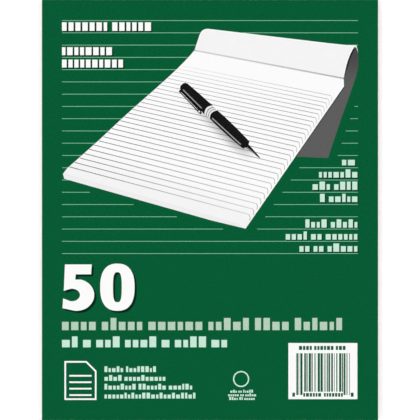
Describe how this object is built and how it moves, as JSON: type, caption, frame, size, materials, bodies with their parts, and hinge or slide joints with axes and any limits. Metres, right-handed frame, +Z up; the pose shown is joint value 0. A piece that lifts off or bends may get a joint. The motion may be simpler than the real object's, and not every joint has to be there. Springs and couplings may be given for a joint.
{
  "type": "writing pad",
  "caption": "Flat pad of ruled sheets gummed at the head on a chipboard back, in a printed card cover that turns back over the head.",
  "frame": {"origin": "centre of the pad's outline, on the table under it", "axes": "+Z up out of the front cover, +Y to the bound head, +X across the pad"},
  "size_m": [0.2032, 0.2544, 0.0054],
  "materials": {
    "cover_card": "dark green printed card with a slight sheen, white inside",
    "writing_paper": "matt white bond paper with fine blue-grey rules",
    "chipboard": "matt grey-brown chipboard with short fibres",
    "padding_gum": "thin milky gum film"
  },
  "bodies": {
    "pad": {"cover_wrap": "cover_card", "ruled_sheets": "writing_paper", "backing_board": "chipboard", "padding_gum": "padding_gum"},
    "cover": {"front_cover": "cover_card"}
  },
  "joints": [
    {"name": "cover_hinge", "type": "hinge", "parent": "pad", "child": "cover", "pos_m": [0, 0.12698, 0.0054], "axis": [-1, 0, 0], "range_deg": [0, 180]}
  ]
}
